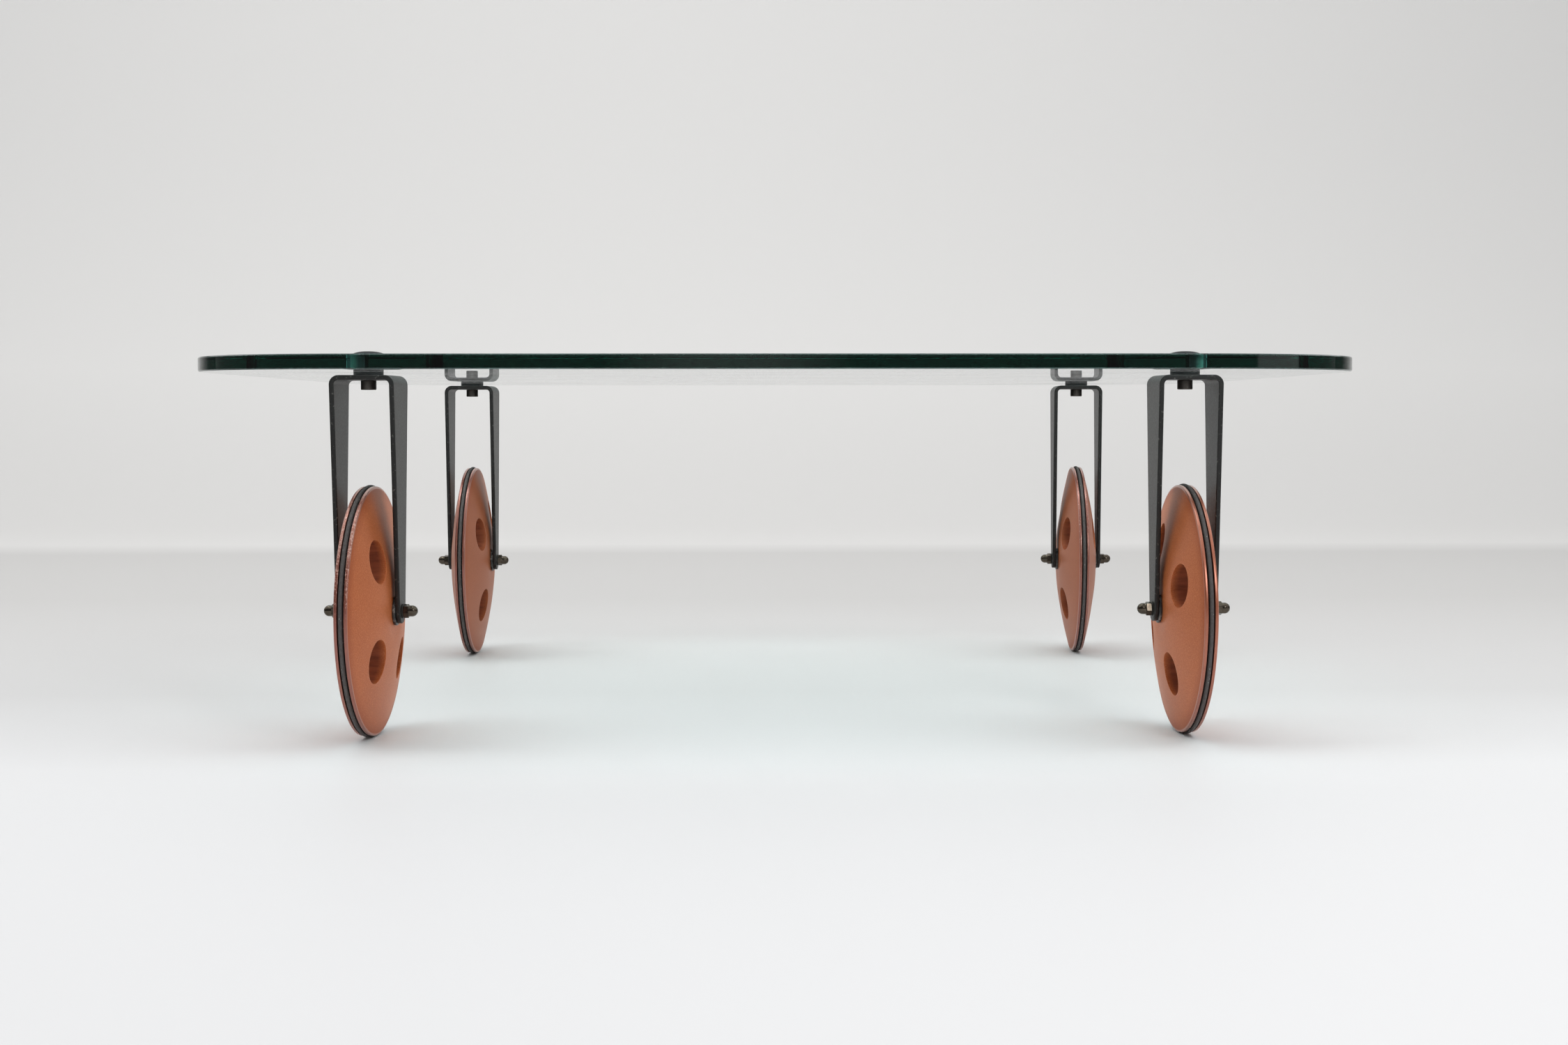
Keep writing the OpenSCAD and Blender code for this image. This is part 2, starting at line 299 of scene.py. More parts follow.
def mirrored(mesh):
    """A copy of the mesh on the other side of the plane X = 0."""
    made = mesh.copy()
    made.transform(Matrix.Scale(-1, 4, (1, 0, 0)))
    made.flip_normals()
    return made


def drilled(mesh, matrix, radius, length):
    """The mesh with a round hole, whose axis is the matrix's Z."""
    cutter = bpy.data.meshes.new("cutter")
    bm = bmesh.new()
    bmesh.ops.create_cone(bm, cap_ends=True, segments=64, radius1=radius, radius2=radius,
                          depth=length, matrix=matrix)
    bm.to_mesh(cutter)
    bm.free()
    body, tool = (add_object(m.name, m) for m in (mesh, cutter))
    cut = body.modifiers.new("hole", "BOOLEAN")
    cut.operation = "DIFFERENCE"
    cut.solver = "EXACT"
    cut.object = tool
    bpy.context.view_layer.update()
    made = bpy.data.meshes.new_from_object(body.evaluated_get(bpy.context.evaluated_depsgraph_get()))
    for ob in (body, tool):
        bpy.data.objects.remove(ob)
    bpy.data.meshes.remove(cutter)
    bpy.data.meshes.remove(mesh)
    return made


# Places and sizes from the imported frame

class Caster:
    """Where one caster stands, and the sizes of its nodes in its own frame."""

    def __init__(self, corner):
        joints = {j["name"]: j for j in frame["joints"]}
        swivel, roll = joints[f"{corner}_swivel"], joints[f"{corner}_roll"]
        steer = math.atan2(roll["axis"][1], roll["axis"][0])
        self.name = corner
        x, y = swivel["pos_m"][:2]
        self.outward = 1 if x > 0 else -1
        self.place = Matrix.Translation((x, y, 0)) @ Matrix.Rotation(steer, 4, "Z")
        self.axle_z = roll["pos_m"][2]
        self.wheel_place = self.place @ Matrix.Translation((0, 0, self.axle_z))

    def points(self, part, place):
        """The vertices of one of the caster's nodes, in the frame of a place."""
        mesh = frame["nodes"][f"{self.name}_{part}"].data
        flat = np.zeros(len(mesh.vertices) * 3, np.float32)
        mesh.vertices.foreach_get("co", flat)
        inverse = np.array(place.inverted())
        return flat.reshape(-1, 3) @ inverse[:3, :3].T + inverse[:3, 3]

    def span(self, part):
        points = self.points(part, self.place)
        return Vector(points.min(0)), Vector(points.max(0))

    def hole_start(self):
        """Angle of one of the wheel's holes in its Y-Z plane."""
        x, y, z = self.points("wheel_inner_half", self.wheel_place).T
        reach = np.hypot(y, z)
        inside = (abs(x) < 0.01 * MM) & (reach > HUB_FLAT_R) & (reach < HOLE_PITCH_R + HOLE_R + MM)
        angle = np.arctan2(z[inside], y[inside])
        return float(np.angle(np.exp(1j * HOLE_COUNT * angle).mean())) / HOLE_COUNT


# Glass top

def glass_outline(half, inset):
    """Rounded square, as points on its outline inset by a distance."""
    radius = CORNER_R - inset
    centre = half - CORNER_R
    made = []
    for corner in range(4):
        turn = Matrix.Rotation(math.pi / 2 * corner, 2)
        made += [turn @ Vector((centre + radius * math.cos(a), centre + radius * math.sin(a)))
                 for a in quarter(CORNER_STEPS)]
    return made


def glass_mesh(holes, hole_r):
    """The sheet with its ground edges and the holes for the swivels, a hair clear of what touches it."""
    lo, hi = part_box("glass_top")
    contact = 0.02 * MM
    z0, z1 = lo.z + contact, hi.z - contact
    half = (hi.x - lo.x) / 2
    bm = bmesh.new()
    ground = bm.faces.layers.float.new("ground")
    under = bm.faces.layers.float.new("under")
    rings = []
    for inset, z in ((ARRIS, z0), (0, z0 + ARRIS), (0, z1 - ARRIS), (ARRIS, z1)):
        rings.append([bm.verts.new((x, y, z)) for x, y in glass_outline(half, inset)])
    for level in range(3):
        lower, upper = rings[level], rings[level + 1]
        for i in range(len(lower)):
            k = (i + 1) % len(lower)
            face = bm.faces.new((lower[i], lower[k], upper[k], upper[i]))
            face[ground] = 0.0 if level == 1 else 1.0
    walls = []
    steps = 64
    for x, y in holes:
        bottom, top = ([bm.verts.new((x + hole_r * math.cos(a), y + hole_r * math.sin(a), z))
                        for a in around(steps)] for z in (z0, z1))
        for i in range(steps):
            bm.faces.new((bottom[i], top[i], top[(i + 1) % steps], bottom[(i + 1) % steps]))
        walls.append((bottom, top))
    for level in (0, 1):
        loops = [rings[3 * level]] + [wall[level] for wall in walls]
        edges = [bm.edges.get((loop[i], loop[(i + 1) % len(loop)]))
                 for loop in loops for i in range(len(loop))]
        filled = bmesh.ops.triangle_fill(bm, use_beauty=True, use_dissolve=False, edges=edges)
        for face in filled["geom"]:
            if level == 0 and isinstance(face, bmesh.types.BMFace):
                face[under] = 1.0
    bmesh.ops.recalc_face_normals(bm, faces=bm.faces)
    made = bpy.data.meshes.new("glass_sheet")
    bm.to_mesh(made)
    bm.free()
    return smooth(made, 20)


# Cap, collar and swivel screw

def cap_mesh(caster):
    """Domed cap with its threaded post, hollow for the screw."""
    lo, hi = caster.span("cap")
    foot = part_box(f"{caster.name}_glass_bush")[1].z
    post_r = 9 * MM
    roof = 3 * MM
    dome = [(hi.x * math.cos(a) ** (2 / CAP_FULLNESS), foot + (hi.z - foot) * math.sin(a))
            for a in quarter(28)]
    inside = [(0, hi.z - roof), (SCREW_BORE_R, hi.z - roof), (SCREW_BORE_R, lo.z), (post_r, lo.z),
              (post_r, foot)]
    lip = rounded([(post_r, foot), (hi.x, foot), dome[1]], [0, 0.4 * MM, 0], closed=False)[1:-1]
    outline = inside + lip + dome[1:]
    return closed_mesh("cap", turned(outline, 128, "z"), 40)


def collar_mesh(caster):
    lo, hi = caster.span("collar")
    edge = 0.35 * MM
    outline = rounded([(POST_BORE_R, lo.z), (hi.x, lo.z), (hi.x, hi.z), (POST_BORE_R, hi.z)],
                      [0, edge, edge, 0])
    return turned_piece("collar", outline, 96, "z")


def screw_mesh(caster):
    """Socket-head screw; its socket is a hexagon cut in the head's underside."""
    lo, hi = caster.span("swivel_screw")
    head_r = 8 * MM
    shank_r = 5 * MM
    head_h = 9.8 * MM
    socket_edge = 0.5 * MM
    angle = around(96)
    socket_r = hexagon(SOCKET_AF, angle + math.pi / 6)
    rows = [(0, lo.z + SOCKET_DEPTH), (socket_r, lo.z + SOCKET_DEPTH), (socket_r, lo.z + socket_edge),
            (socket_r + socket_edge, lo.z)]
    outside = rounded([(6 * MM, lo.z), (head_r, lo.z), (head_r, lo.z + head_h), (shank_r, lo.z + head_h),
                       (shank_r, hi.z), (0, hi.z)], [0, 0.9 * MM, 0.4 * MM, 0, 0.5 * MM, 0], 4, closed=False)
    return closed_mesh("screw", [ring_at(r, z, angle, "z") for r, z in rows + outside])


# Fork

class Strap:
    """A fork's strap unrolled: s is the length from the middle of the crown along the middle of the strap
    down to the tip of the foot, y goes across it, and lift is the distance from its middle surface."""

    FOOT_STEPS = 16

    def __init__(self, caster):
        self.outer, self.crown_half, self.top = caster.span("fork")[1]
        self.axle_z = caster.axle_z
        self.foot_half = FOOT_W / 2
        self.bend_start = self.outer - STRAP_BEND_R
        self.bend_r = STRAP_BEND_R - STRAP_T / 2
        self.bend = self.bend_r * math.pi / 2
        self.leg_start = self.bend_start + self.bend
        self.leg_end = self.leg_start + self.top - STRAP_BEND_R - self.axle_z
        spans = ((0, self.bend_start, 5), (self.bend_start, self.leg_start, 15),
                 (self.leg_start, self.leg_end, 40))
        self.stations = [s for start, end, count in spans for s in np.linspace(start, end, count)[:-1]]
        self.stations += [self.leg_end + self.foot_half * math.sin(a) for a in quarter(self.FOOT_STEPS)]

    def at(self, s):
        """(x, z, normal x, normal z) of the strap's middle on the right half."""
        if s <= self.bend_start:
            return s, self.top - STRAP_T / 2, 0.0, 1.0
        if s <= self.leg_start:
            a = (s - self.bend_start) / self.bend_r
            return (self.bend_start + self.bend_r * math.sin(a),
                    self.top - STRAP_BEND_R + self.bend_r * math.cos(a), math.sin(a), math.cos(a))
        return self.outer - STRAP_T / 2, self.top - STRAP_BEND_R - (s - self.bend_start - self.bend), 1.0, 0.0

    def half_width(self, s):
        """The strap tapers evenly with its height down to the axle, where the round foot starts."""
        if s > self.leg_end:
            return math.sqrt(max(self.foot_half ** 2 - (s - self.leg_end) ** 2, 0))
        share = (self.crown_half - self.foot_half) * (self.at(s)[1] - self.axle_z)
        return self.foot_half + share / (self.top - self.axle_z)

    def inward(self, s):
        """Unit vector (s, y) from the outline into the strap."""
        if s >= self.leg_end:
            a = math.asin(min((s - self.leg_end) / self.foot_half, 1))
            return -math.sin(a), -math.cos(a)
        step = 0.5 * MM
        slope = (self.half_width(s + step) - self.half_width(max(s - step, 0))) / (step + min(s, step))
        length = math.hypot(1, slope)
        return slope / length, -1 / length

    def row(self, side, way, inset, lift):
        """Points along one half's outline, moved into the strap by the inset."""
        made = []
        for s in self.stations:
            ds, dy = self.inward(s)
            y = max(self.half_width(s) + dy * inset, 0)
            x, z, nx, nz = self.at(abs(s + ds * inset))
            made.append((side * (x + nx * lift), way * y, z + nz * lift))
        return made


def strap_edge(strap, side, way):
    """Rows around one narrow side of the strap, whose edges are rounded, and their wear."""
    rows, wear = [], []
    steps = 4
    for face in (-1, 1):
        for k in range(steps + 1):
            a = math.pi / 2 * (k / steps if face > 0 else k / steps - 1)
            lift = face * (STRAP_T / 2 - STRAP_EDGE) + STRAP_EDGE * math.sin(a)
            rows.append(strap.row(side, way, STRAP_EDGE * (1 - math.cos(a)), lift))
            wear.append(1.0 if a else 0.6)
    return rows, wear


def fork_mesh(caster):
    """Bent steel strap with rounded edges, drilled for the axle and the swivel's bush."""
    strap = Strap(caster)
    patches = Patchwork()
    across = 6
    worn_share = 0.03
    inside = np.linspace(0, 1, across + 1)[1:-1]
    shares = np.concatenate([[0, worn_share], inside, [1 - worn_share, 1]])
    worn = [1.0] + [0.0] * (len(shares) - 2) + [1.0]
    for side in (-1, 1):
        for way in (-1, 1):
            rows, wear = strap_edge(strap, side, way)
            # The narrow sides carry the painted shade mark
            patches.grid(rows, wear=wear, soot=1.0)
        for lift in (-STRAP_T / 2, STRAP_T / 2):
            left, right = (np.array(strap.row(side, way, STRAP_EDGE, lift)) for way in (-1, 1))
            patches.grid([left + (right - left) * f for f in shares], wear=worn)
    mesh = patches.mesh("fork")
    crown = Matrix.Translation((0, 0, strap.top))
    axle = Matrix.Translation((0, 0, strap.axle_z)) @ Matrix.Rotation(math.pi / 2, 4, "Y")
    mesh = drilled(mesh, crown, CROWN_BORE_R, 4 * STRAP_T)
    return smooth(drilled(mesh, axle, AXLE_BORE_R, 4 * strap.outer), 35)


# Axle nuts and washers

def nut_mesh(caster, turn_deg):
    """Blind hexagon nut with a dome, its hexagon chamfered at both ends; it faces +X from the washer."""
    seat = caster.span("nut_washers")[1].x
    tip = caster.span("axle_nuts")[1].x
    dome_x = tip - seat - NUT_DOME_R
    angle = around(120)
    flats_r = hexagon(NUT_AF, angle - math.radians(turn_deg))

    def chamfer(share):
        return np.minimum(flats_r, NUT_AF / 2 * (NUT_CONE_START + NUT_CONE_WIDER * share))

    rows = [(0, dome_x), (AXLE_BORE_R, dome_x), (AXLE_BORE_R, 0)]
    cuts = 6
    rows += [(chamfer(k / cuts), NUT_CHAMFER * k / cuts) for k in range(cuts + 1)]
    rows += [(chamfer(k / cuts), NUT_HEX_H - NUT_CHAMFER * k / cuts) for k in range(cuts, -1, -1)]
    fillet = 0.25 * MM
    rows += [(NUT_DOME_R + fillet, NUT_HEX_H), (NUT_DOME_R + fillet * 0.3, NUT_HEX_H + fillet * 0.3),
             (NUT_DOME_R, NUT_HEX_H + fillet)]
    rows += [(NUT_DOME_R * math.cos(a), dome_x + NUT_DOME_R * math.sin(a)) for a in quarter(14)]
    return closed_mesh("nut", [ring_at(r, seat + x, angle) for r, x in rows], 25)


def washers_mesh(caster, part, bore_r, edge):
    """The flat rings between the strap and the nuts or the wheel, with their outer edges rounded."""
    end, radius = caster.span(part)[1].xy
    inner = caster.span("fork" if part == "nut_washers" else "wheel_outer_half")
    start = inner[1].x if part == "nut_washers" else max(abs(v.x) for v in inner)
    outline = rounded([(bore_r, start), (radius, start), (radius, end), (bore_r, end)], [0, edge, edge, 0])
    wear = [1.0 if r > radius - edge * 1.01 else 0.0 for r, _ in outline]
    mesh = turned_piece(part, outline, 96, wear=wear + wear[:1])
    return join(part, mirrored(mesh), mesh)


# Wheel

class Dish:
    """One half of a wheel: its sizes, and the mesh that its face, holes, hub and rim are laid into."""

    # Steps along the rim, around the hub and along a radius, in each hole's share of the wheel
    ARC_STEPS, HUB_STEPS, SIDE_STEPS = 72, 24, 16
    # Small chamfer where a hole meets the joint between the halves
    SEAM = 0.25 * MM
    # Widths of the band around a hole's edge, and of the one along the rim
    HOLE_BAND, RIM_BAND = 0.8 * MM, 6 * MM

    def __init__(self, caster, part, way):
        lo, hi = caster.span(part)
        self.corner = caster.name
        self.way = way
        self.hub_half = max(abs(lo.x), abs(hi.x))
        self.rim_r = (hi.z - lo.z) / 2
        self.groove_r = self.rim_r - GROOVE_DEPTH
        self.face_edge_r = self.rim_r - self.RIM_BAND
        self.hole_turn = caster.hole_start()
        self.border_turn = self.hole_turn - math.pi / HOLE_COUNT
        self.patches = Patchwork()

    def height(self, radius):
        """Height of the face above the wheel's middle plane."""
        face_r = self.rim_r - RIM_ROUND
        u = np.clip((face_r - radius) / (face_r - HUB_FLAT_R), 0, 1)
        return RIM_HALF + (self.hub_half - RIM_HALF) * (1 - (1 - u) ** DISH_CURVE)

    def ring_height(self, ring):
        return self.height(np.hypot(*ring.T))

    def sector(self, hole_r, outer_r, shares):
        """Rings of (y, z) from a hole on +Y out to the edge of its share of the wheel, and the way out."""
        half = math.pi / HOLE_COUNT
        edge = [(outer_r, a) for a in np.linspace(-half, half, self.ARC_STEPS + 1)[:-1]]
        edge += [(r, half) for r in np.linspace(outer_r, HUB_FLAT_R, self.SIDE_STEPS + 1)[:-1]]
        edge += [(HUB_FLAT_R, a) for a in np.linspace(half, -half, self.HUB_STEPS + 1)[:-1]]
        edge += [(r, -half) for r in np.linspace(HUB_FLAT_R, outer_r, self.SIDE_STEPS + 1)[:-1]]
        border = np.array([(r * math.cos(a), r * math.sin(a)) for r, a in edge])
        centre = np.array((HOLE_PITCH_R, 0))
        toward = border - centre
        toward /= np.linalg.norm(toward, axis=1)[:, None]
        circle = centre + hole_r * toward
        return [circle + (border - circle) * f for f in shares], toward

    def lay(self, rings, heights, **marks):
        """Stands rings of (y, z) at their heights, once for each hole."""
        for k in range(HOLE_COUNT):
            a = self.hole_turn + 2 * math.pi * k / HOLE_COUNT
            c, s = math.cos(a), math.sin(a)
            rows = []
            for ring, x in zip(rings, heights):
                x = np.broadcast_to(x, len(ring))
                y, z = ring.T
                rows.append(np.stack([self.way * x, y * c - z * s, y * s + z * c], axis=1))
            self.patches.grid(rows, wrap=True, **marks)

    def lay_face(self):
        """The dished face around each hole."""
        shares = np.linspace(0, 1, 10) ** 1.25
        rings, toward = self.sector(HOLE_R + HOLE_EDGE + self.HOLE_BAND, self.face_edge_r, shares)
        self.lay(rings, [self.ring_height(ring) for ring in rings])
        return rings[0], toward

    def lay_hole(self, first, toward):
        """A hole's rounded edge, and its wall down to the joint, where less and less lacquer covers it."""
        centre = np.array((HOLE_PITCH_R, 0))
        rings, heights, bare = [first], [self.ring_height(first)], [0.0]
        for k in range(5):
            a = math.pi / 2 * (1 - k / 4)
            ring = centre + toward * (HOLE_R + HOLE_EDGE * (1 - math.cos(a)))
            rings.append(ring)
            heights.append(self.ring_height(ring) - HOLE_EDGE * (1 - math.sin(a)))
            bare.append(0.0)
        wall_top = heights[-1]
        for depth in (0.85, 0.6, 0.4, 0.2):
            rings.append(rings[-1])
            heights.append(self.SEAM + (wall_top - self.SEAM) * depth)
            bare.append(1 - depth)
        rings += [rings[-1], centre + toward * (HOLE_R + self.SEAM)]
        heights += [self.SEAM, 0.0]
        bare += [1.0, 1.0]
        self.lay(rings, heights, bare=bare)
        return rings[-1]

    def lay_joint(self, first):
        """The flat side that meets the other half."""
        edge = self.sector(HOLE_R + self.SEAM, self.groove_r, (0, 1))[0][-1]
        self.lay([first + (edge - first) * f for f in (0, 0.4, 1)], [0.0, 0.0, 0.0], bare=1.0)

    def lay_hub(self):
        """The sleeve's bore with the flat ring around it, on both sides."""
        hub = [(HUB_FLAT_R, 0), (SLEEVE_BORE_R, 0), (SLEEVE_BORE_R, self.hub_half),
               (HUB_FLAT_R * 0.95, self.hub_half), (HUB_FLAT_R, self.hub_half)]
        hub = [(r, self.way * x) for r, x in hub]
        self.patches.grid(turned(hub, self.HUB_STEPS * HOLE_COUNT, start=self.border_turn), wrap=True)

    def rim_profile(self):
        """(radius, height, wear) from the face over the rim and its lip down into the tyre's groove."""
        rim = [(self.face_edge_r, float(self.height(self.face_edge_r)), 0.0)]
        for inset, wear in ((4.0, 0.0), (1.8, 0.0), (1.5, 0.6)):
            r = self.rim_r - inset * MM
            rim.append((r, float(self.height(r)), wear))
        for k in range(6):
            a = math.pi / 2 * (1 - k / 5)
            rim.append((self.rim_r - RIM_ROUND + RIM_ROUND * math.cos(a),
                        RIM_HALF - RIM_ROUND + RIM_ROUND * math.sin(a), 1.0))
        for a in quarter(4):
            rim.append((self.rim_r - LIP_ROUND + LIP_ROUND * math.cos(a),
                        GROOVE_HALF + LIP_ROUND - LIP_ROUND * math.sin(a), 1.0))
        return rim + [(self.rim_r - 2.2 * MM, GROOVE_HALF, 0.5), (self.groove_r + MM, GROOVE_HALF, 0.0),
                      (self.groove_r, GROOVE_HALF, 0.0), (self.groove_r, 0, 0.0)]

    def lay_rim(self):
        """The rim with its lip and groove; its wear and chips change around the wheel."""
        rim = self.rim_profile()
        steps = self.ARC_STEPS * HOLE_COUNT
        rows = turned([(r, self.way * x) for r, x, _ in rim], steps, start=self.border_turn)
        # Painted shade that deepens from the lip down into the tyre's groove
        groove_soot = [0.0, 0.15, 0.4, 0.7, 0.85, 1.0, 1.0, 1.0]
        soot = [0.0] * (len(rim) - len(groove_soot)) + groove_soot
        turn = np.degrees(self.border_turn) + np.arange(steps) * 360 / steps
        known, *levels = np.transpose(RIM_WEAR[self.corner])
        band = [wear for _, _, wear in rim]
        rubbed, chipped = (np.outer(band, np.interp(turn, known, level, period=360)) for level in levels)
        self.patches.grid(rows, wear=rubbed, chips=chipped, soot=soot, wrap=True)


def wheel_half_mesh(caster, outer):
    """One turned dish with its holes, the rounded rim and its half of the tyre's groove."""
    part = "wheel_outer_half" if outer else "wheel_inner_half"
    dish = Dish(caster, part, caster.outward if outer else -caster.outward)
    dish.lay_joint(dish.lay_hole(*dish.lay_face()))
    dish.lay_hub()
    dish.lay_rim()
    return dish.patches.mesh(part, 50)


def tyre_mesh(caster):
    """Rubber band: a wide foot in the groove, and a narrower tread with rounded edges."""
    lo, hi = caster.span("tyre")
    tread_r = (hi.z - lo.z) / 2
    groove_r = tread_r - TYRE_DEPTH
    foot_h, shoulder_h = 2.6 * MM, 4 * MM
    side = [(groove_r, GROOVE_HALF), (groove_r + foot_h, GROOVE_HALF), (groove_r + shoulder_h, TREAD_HALF),
            (tread_r, TREAD_HALF)]
    outline = rounded([(r, -x) for r, x in side] + side[::-1],
                      [0, 0, 0, TREAD_ROUND, TREAD_ROUND, 0, 0, 0], 8)
    # wear is 1 on the crown and fades down the rounded sides, for the scuffed tread and its painted light
    fade = 1.8
    wear = [min(max(fade * (r - tread_r) / TREAD_ROUND + 1, 0), 1) for r, _ in outline]
    return turned_piece("tyre", outline, 288, wear=wear + wear[:1])


# Materials

class Nodes:
    """Short ways to add nodes to a tree."""

    def __init__(self, tree):
        self.tree = tree

    def node(self, kind, inputs=None, **settings):
        """A new node; its inputs are given by name or by number."""
        made = self.tree.nodes.new(kind)
        for key, value in settings.items():
            setattr(made, key, value)
        for key, value in (inputs or {}).items():
            self.feed(made.inputs[key], value)
        return made

    def feed(self, socket, value):
        if isinstance(value, bpy.types.NodeSocket):
            self.tree.links.new(value, socket)
        else:
            socket.default_value = value

    def math(self, operation, one, two=0.0, clamp=False):
        made = self.node("ShaderNodeMath", {0: one, 1: two}, operation=operation, use_clamp=clamp)
        return made.outputs[0]

    def times(self, one, two):
        return self.math("MULTIPLY", one, two)

    def spread(self, value, low, high, to_low=0.0, to_high=1.0):
        """The value's range from low to high stretched to another range, and held at its ends."""
        inputs = {"Value": value, "From Min": low, "From Max": high, "To Min": to_low, "To Max": to_high}
        return self.node("ShaderNodeMapRange", inputs, clamp=True).outputs["Result"]

    def blend(self, share, one, two):
        """The first colour at a share of 0, the second at 1."""
        one, two = (c + (1.0,) if isinstance(c, tuple) else c for c in (one, two))
        return self.node("ShaderNodeMix", {0: share, 6: one, 7: two}, data_type="RGBA").outputs[2]

    def parts(self, vector):
        """The X, Y and Z of a vector."""
        split = self.node("ShaderNodeSeparateXYZ", {"Vector": vector})
        return [split.outputs[name] for name in "XYZ"]


class Shader(Nodes):
    """Node tree of one material, with a Principled surface."""

    def __init__(self, name):
        """own are the piece's coordinates, and coords the same moved by the corner's seed, for noise."""
        self.material = bpy.data.materials.new(name)
        self.material.use_nodes = True
        super().__init__(self.material.node_tree)
        self.surface = self.tree.nodes["Principled BSDF"]
        self.output = self.tree.nodes["Material Output"]
        self.own = self.node("ShaderNodeTexCoord").outputs["Object"]
        moved = self.node("ShaderNodeVectorMath", {0: self.mark("seed"), 1: SEED_STEP, 2: self.own},
                          operation="MULTIPLY_ADD")
        self.coords = moved.outputs[0]

    def set(self, **values):
        """Values of the surface's own sockets, named in lower case with underscores."""
        for key, value in values.items():
            self.feed(self.surface.inputs[key.replace("_", " ").title().replace("Ior", "IOR")], value)

    def noise(self, scale, detail=3.0, rough=0.5, stretch=(1, 1, 1)):
        coords = self.coords
        if stretch != (1, 1, 1):
            coords = self.node("ShaderNodeMapping", {"Scale": stretch, "Vector": coords}).outputs["Vector"]
        inputs = {"Vector": coords, "Scale": scale, "Detail": detail, "Roughness": rough}
        return self.node("ShaderNodeTexNoise", inputs).outputs["Fac"]

    def specks(self, scale, size):
        """1 inside small scattered round specks, 0 elsewhere."""
        cells = self.node("ShaderNodeTexVoronoi", {"Vector": self.coords, "Scale": scale})
        near = self.math("LESS_THAN", cells.outputs["Distance"], size)
        pick = self.node("ShaderNodeSeparateColor", {"Color": cells.outputs["Color"]})
        empty = 0.55
        return self.times(near, self.math("GREATER_THAN", pick.outputs["Red"], empty))

    def mark(self, name):
        """A value painted on the mesh's points or faces."""
        return self.node("ShaderNodeAttribute", attribute_name=name).outputs["Fac"]

    def let_light_through(self, tint):
        """Lamps shine through the surface, as they do through real glass, and keep the surface's tint."""
        clear = self.node("ShaderNodeBsdfTransparent", {"Color": tint + (1,)})
        shadow = self.node("ShaderNodeLightPath").outputs["Is Shadow Ray"]
        mix = self.node("ShaderNodeMixShader", {0: shadow, 1: self.surface.outputs[0], 2: clear.outputs[0]})
        self.feed(self.output.inputs["Surface"], mix.outputs[0])

    def rough(self, value, low, high):
        """Roughness between two levels by a noise's value."""
        self.set(roughness=self.spread(value, 0.3, 0.7, low, high))

    def bump(self, height, strength, distance):
        made = self.node("ShaderNodeBump", {"Height": height, "Strength": strength, "Distance": distance})
        self.feed(self.surface.inputs["Normal"], made.outputs["Normal"])


def glass_material():
    """Clear green float glass: its colour comes from the depth of glass that the light goes through.
    The underside is slightly dusty, and the chamfers along the edges are ground."""
    s = Shader("glass")
    s.set(base_color=(1, 1, 1, 1), transmission_weight=1.0, ior=1.52, roughness=0.0)
    absorb = s.node("ShaderNodeVolumeAbsorption", {"Color": (0.0, 0.55, 0.5, 1), "Density": 8.0})
    film = s.spread(s.noise(5, 3), 0.35, 0.65, 0.05, 0.3)
    dust = s.math("ADD", film, s.times(s.specks(320, 0.3), 0.6))
    s.set(sheen_weight=s.times(s.mark("under"), dust))
    s.set(sheen_roughness=0.5)
    grinding = s.times(s.mark("ground"), s.noise(700, 3))
    s.bump(grinding, 0.5, 0.05 * MM)
    s.feed(s.output.inputs["Volume"], absorb.outputs["Volume"])
    s.let_light_through((0.9, 0.908, 0.912))
    return s.material


def fork_material():
    """Warm black satin paint with a fine grain, rubbed lighter in places on the edges, and with painted shade
    on its narrow sides.
    """
    s = Shader("fork_paint")
    wide = s.noise(14, 4)
    fine = s.noise(480, 3, 0.65)
    paint = s.blend(s.spread(wide, 0.35, 0.7), (0.012, 0.011, 0.0095), (0.02, 0.0185, 0.0165))
    paint = s.blend(s.spread(fine, 0.48, 0.75, 0.0, 0.6), paint, (0.062, 0.058, 0.052))
    # Painted shade on the strap's narrow sides
    paint = s.blend(s.times(s.mark("soot"), 0.9), paint, (0.006, 0.0055, 0.005))
    rub = s.times(s.mark("wear"), s.spread(s.noise(300, 3, 0.7), 0.6, 0.72))
    s.set(base_color=s.blend(rub, paint, (0.16, 0.15, 0.14)))
    s.rough(fine, 0.36, 0.52)
    s.set(specular_ior_level=0.42)
    s.bump(fine, 0.4, 0.1 * MM)
    return s.material


def dark_metal_material(name, low, high, roughness, metallic, edge_on=1.0):
    """Dark blackened or burnished metal with cloudy patches and fine marks."""
    s = Shader(name)
    cloud = s.noise(120, 4, 0.6)
    s.set(base_color=s.blend(s.spread(cloud, 0.3, 0.7), low, high))
    s.set(metallic=metallic, specular_tint=(edge_on, edge_on, edge_on, 1))
    s.rough(s.noise(420, 3), roughness * 0.85, roughness * 1.2)
    s.bump(s.noise(1400, 2), 0.15, 0.05 * MM)
    return s.material


def turned_metal_material(name, low, high, roughness):
    """Bright turned metal with fine lathe lines along its axis."""
    s = Shader(name)
    lines = s.noise(60, 2, 0.5, (60, 1, 1))
    s.set(base_color=s.blend(lines, low, high))
    s.set(metallic=1.0)
    s.rough(lines, roughness * 0.8, roughness * 1.2)
    s.bump(lines, 0.2, 0.03 * MM)
    return s.material


